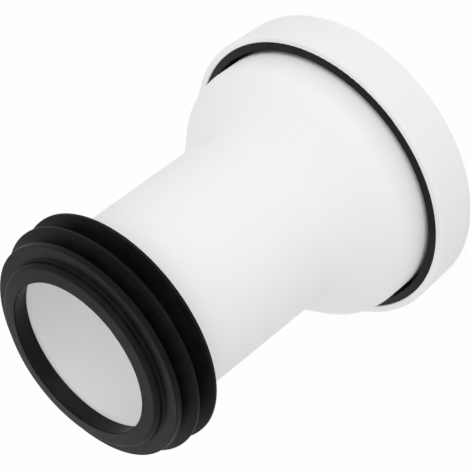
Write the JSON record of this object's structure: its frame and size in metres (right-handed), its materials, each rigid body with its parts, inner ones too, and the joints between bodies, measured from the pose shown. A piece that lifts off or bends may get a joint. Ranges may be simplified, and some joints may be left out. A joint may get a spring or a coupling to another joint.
{
  "type": "toilet pan connector",
  "caption": "Straight toilet pan connector: white spigot tube flaring to a socket, black finned outlet seal, black lip seal and white collar round the pan end.",
  "frame": {"origin": "centre of the collar's flat pan-side face, which the connector stands on", "axes": "+Z along the waterway from the pan socket towards the finned outlet spigot; X and Y across it, in any turn, because the part is round"},
  "size_m": [0.1486, 0.1486, 0.1829],
  "materials": {
    "white_polypropylene": "moulded white polypropylene with a soft satin gloss",
    "collar_polypropylene": "moulded white polypropylene with a soft satin gloss",
    "black_rubber": "satin black moulded sealing rubber"
  },
  "bodies": {
    "root": {"body": "white_polypropylene", "outlet_seal": "black_rubber", "pan_seal": "black_rubber", "collar": "collar_polypropylene"}
  },
  "joints": []
}
